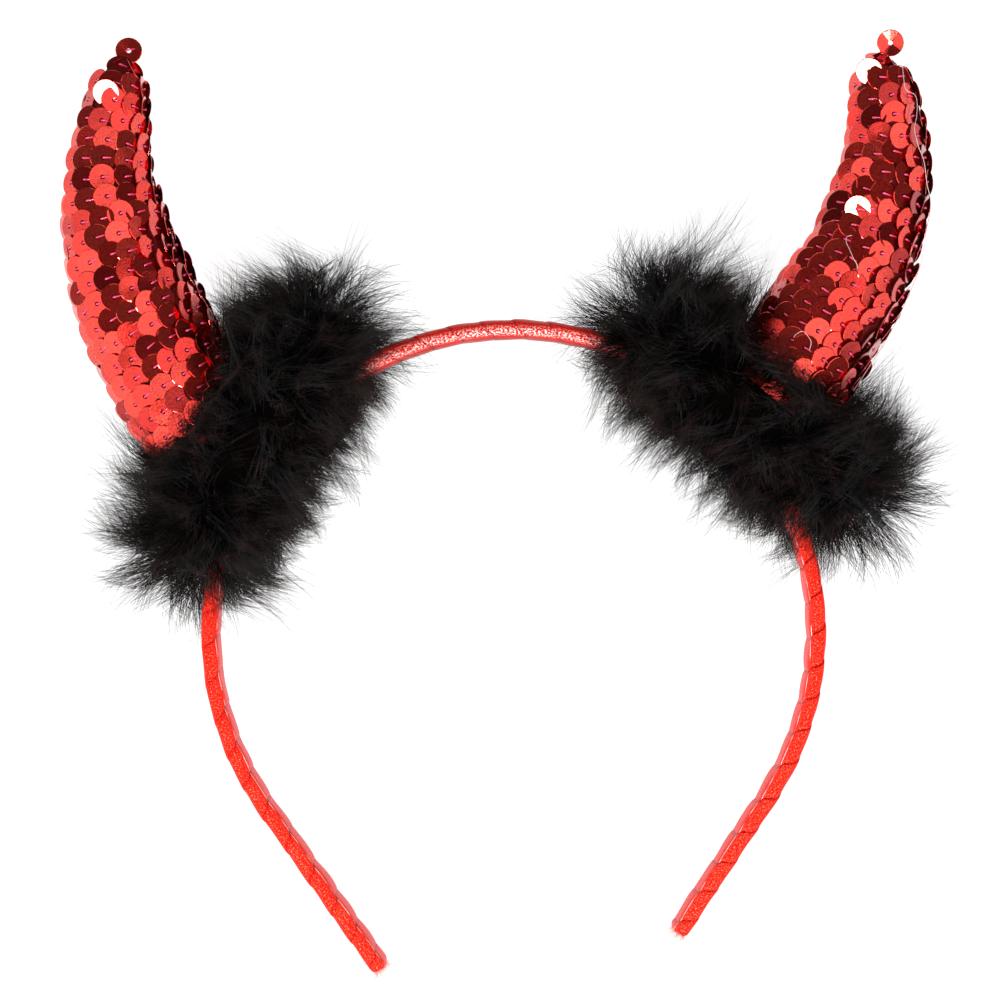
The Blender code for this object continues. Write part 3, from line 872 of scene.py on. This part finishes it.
def clearOfNeighbours(side, path):
    # strands bend round the horn, and lie on the floor instead of passing through it
    points, radii = (values[::6] for values in hornLine(side)[:2])
    flat = path.reshape(-1, 3)
    away = flat[:, None, :] - points[None, :, :]
    distance = np.linalg.norm(away, axis=2)
    near = distance.argmin(axis=1)
    pick = np.arange(len(flat))
    need = radii[near] + 0.6 * mm
    inside = (distance[pick, near] < need) & (near > 0)
    push = away[pick, near] / (distance[pick, near][:, None] + 1e-9)
    flat = np.where(inside[:, None], points[near] + push * need[:, None], flat)
    world = toWorld(flat)
    low = 0.40 * mm
    world[:, 2] = np.where(world[:, 2] < low, low + (low - world[:, 2]) * 0.05, world[:, 2])
    high = 57 * mm
    world[:, 2] = np.where(world[:, 2] > high, high + (world[:, 2] - high) * 0.55, world[:, 2])
    return toLoop(world).reshape(path.shape)


def makeMarabou(side, material, coreShade):
    makeCore(side, coreShade)
    for k, layer in enumerate(marabou["layers"]):
        makeStrands(side, layer, material, marabou["seed"] + 10 * k + (side == "right"))


# Loose threads: the ribbon's frayed ends, and a clear thread on the right horn

def tubes(name, paths, radii, sides, material):
    # paths (count, points, 3) with radii (count, points); each is a closed round tube
    count, rows = paths.shape[:2]
    world = toWorld(paths)
    world[..., 2] = np.maximum(world[..., 2], 0.3 * mm)
    paths = toLoop(world)
    ahead = unit(np.gradient(paths, axis=1))
    across = unit(np.cross(ahead, np.array((0.31, 0.52, 0.79))))
    other = np.cross(ahead, across)
    turns = (np.arange(sides) / sides * 2 * math.pi)[None, None, :, None]
    ring = np.cos(turns) * across[:, :, None, :] + np.sin(turns) * other[:, :, None, :]
    body = (paths[:, :, None, :] + ring * radii[:, :, None, None]).reshape(count, -1, 3)
    points = np.concatenate((body, paths[:, :1], paths[:, -1:]), axis=1)
    size = rows * sides + 2
    quads = gridFaces(rows, sides)
    k = np.arange(sides)
    last = (rows - 1) * sides
    first = np.stack((k, np.full(sides, size - 2), (k + 1) % sides), -1)
    end = np.stack((last + k, last + (k + 1) % sides, np.full(sides, size - 1)), -1)
    triangles = np.concatenate((quads[:, [0, 1, 2]], quads[:, [0, 2, 3]], first, end))
    allFaces = (triangles[None] + (np.arange(count) * size)[:, None, None]).reshape(-1, 3)
    return meshPiece(name, toWorld(points.reshape(-1, 3)), allFaces, material)


fray = {
    "threads": 150,
    "length": (0.8 * mm, 2.4 * mm),
    "thickness": 0.10 * mm,
    "pale": "#FFB4AA",
    "seed": 21,
}


def makeFray(material):
    # each end of the ribbon frays into short pale threads round the band's tip
    random = np.random.RandomState(fray["seed"])
    count = fray["threads"]
    for side, end in zip(("left", "right"), bandEnds()):
        sign = signOf[side]
        around = random.uniform(0, 2 * math.pi, count)
        place, outward, forward = bandFrame(np.full(count, end - sign * 0.8 * mm))
        wide = np.cos(around)[:, None] * outward
        high = np.sin(around)[:, None] * np.array((0.0, 0.0, 1.0))
        radial = wide * 0.9 + high
        root = place + wide * 1.35 * mm + high * 3.9 * mm
        length = random.uniform(*fray["length"], (count, 1))
        way = unit(radial * 0.7 + forward * sign * random.uniform(0.4, 1.6, (count, 1))
                   + random.normal(0, 0.35, (count, 3)))
        bend = random.normal(0, 0.3, (count, 3))
        t = np.linspace(0, 1, 5)[None, :, None]
        paths = root[:, None] + length[:, None] * (way[:, None] * t + bend[:, None] * t ** 2)
        radii = np.tile(fray["thickness"] / 2 * (1 - 0.6 * t[:, :, 0]), (count, 1))
        piece = tubes(side + "_ribbon_fray", paths, radii, 4, material)
        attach(piece, "root")
        print(piece.name, count, "threads")


def frayMaterial():
    # loose polyester threads: nearly white, because they have lost the dye's depth
    return newMaterial("frayed_polyester", {"Base Color": linear(fray["pale"]), "Roughness": 0.5})[0]


clearThread = {
    "thickness": 0.17 * mm,
    # on the right horn: station, turn in degrees, height over the sequins in mm
    "runs": {
        "seam": ((0.0900, 47, 0.2), (0.0879, 39, 0.5), (0.0844, 29, 0.5), (0.0815, 27, 0.5),
                 (0.0801, 46, 0.4), (0.0759, 37, 0.5), (0.0732, 30, 0.5), (0.0697, 35, 0.4),
                 (0.0668, 44, 0.5), (0.0622, 53, 0.4), (0.0590, 70, 0.5), (0.0536, 65, 0.5),
                 (0.0467, 76, 0.5), (0.0429, 72, 0.5), (0.0413, 74, 0.4), (0.0333, 76, 0.5),
                 (0.0247, 72, 0.4), (0.0180, 70, 0.2)),
        "loop": ((0.0470, -24, 0.2), (0.0459, -27, 0.9), (0.0440, -24, 1.2), (0.0413, -12, 1.2),
                 (0.0405, -6, 0.8), (0.0395, -3, 0.1)),
        "curl": ((0.0198, -20, 0.1), (0.0205, -19, 0.8), (0.0218, -15, 1.2), (0.0212, -7, 1.1),
                 (0.0205, -4, 0.8), (0.0191, -2, 0.1)),
    },
}


def clearMaterial():
    # clear nylon thread, a smooth bright line that takes the sequins' colour
    return newMaterial("clear_nylon", {
        "Base Color": linear("#F0D8D8"), "Roughness": 0.12, "Transmission Weight": 0.5, "IOR": 1.52})[0]


def makeClearThread(material):
    for name, table in clearThread["runs"].items():
        station, turn, height = smoothRows(np.array(table), 9).T
        surface, normal = hornSurface("right", station, np.radians(turn))[:2]
        path = surface + normal * (height * mm)[:, None]
        radii = np.full((1, len(path)), clearThread["thickness"] / 2)
        piece = tubes("right_horn_clear_" + name, path[None], radii, 6, material)
        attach(piece, "root")
    print("clear thread laid in", len(clearThread["runs"]), "runs")


# Tip sequins: one stands on end on each horn's tip, in the loop's plane

tip = {
    # lean about the picture's up and across directions in degrees, cup, shift across and up, stitched
    "left": (6.0, -3.0, 0.15 * mm, (-0.30 * mm, 0.30 * mm), True),
    "right": (-12.0, 14.0, 0.8 * mm, (0.70 * mm, 0.95 * mm), False),
}


def makeTipSequin(side, material, stitchMaterial):
    lean, nod, cupping, shift, stitched = tip[side]
    points = hornLine(side)[0]
    ahead = unit(points[-1] - points[-2])
    centre = (points[-1] + ahead * (sequin["diameter"] / 2 + horn["gap"]) + (*shift, 0.0))[None]
    right, along, normal = np.eye(3)[:, None, :]
    right, normal = turnAbout(along, right, np.array([lean])), turnAbout(along, normal, np.array([lean]))
    along, normal = turnAbout(right, along, np.array([nod])), turnAbout(right, normal, np.array([nod]))
    flat, cup, height, faces = sequinTemplate()
    up = height + cup * cupping
    disc = centre + flat[:, :1] * right + flat[:, 1:] * along + up[:, None] * normal
    piece = meshPiece(side + "_standing_sequin", toWorld(disc), faces, material, False)
    giveAttribute(piece, "tone", np.full(len(disc), 0.5))
    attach(piece, "root")
    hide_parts(side + "_tip_sequin")
    if stitched:
        makeStitches(side + "_standing_stitch", stitchMaterial, centre - right * 0.5 * mm,
                     right, along, normal, np.random.RandomState(sequin["seed"]))


makeCamera()
makeStudio()
makeBand()
cloth = clothMaterial()
film = sequinMaterial()
thread = threadMaterial()
down = downMaterial()
shade = coreMaterial()
for side in ("left", "right"):
    makeHornBody(side, cloth)
    makeSequins(side, film, thread)
    makeMarabou(side, down, shade)
    makeTipSequin(side, film, thread)

makeFray(frayMaterial())
makeClearThread(clearMaterial())
